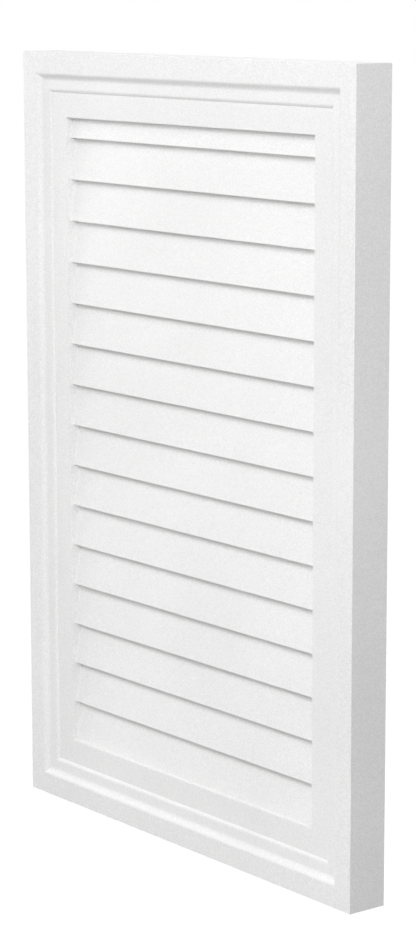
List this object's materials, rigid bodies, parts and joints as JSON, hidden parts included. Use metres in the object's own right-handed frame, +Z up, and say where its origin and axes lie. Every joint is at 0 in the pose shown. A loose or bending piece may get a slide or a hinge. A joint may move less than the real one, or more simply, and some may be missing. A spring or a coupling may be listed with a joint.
{
  "type": "decorative louvred vent",
  "caption": "Closed rectangular wall vent moulded in one piece: a stepped frame moulding round a run of lapped louvres, flat at the back.",
  "frame": {"origin": "middle of the flat wall face", "axes": "+Z up the height, +X across the width, +Y into the wall; the louvred show face looks to -Y"},
  "size_m": [0.6096, 0.0494, 0.9144],
  "materials": {
    "white_moulding": "smooth factory-primed white, matte, with a very fine stipple"
  },
  "bodies": {
    "root": {"vent": "white_moulding"}
  },
  "joints": []
}
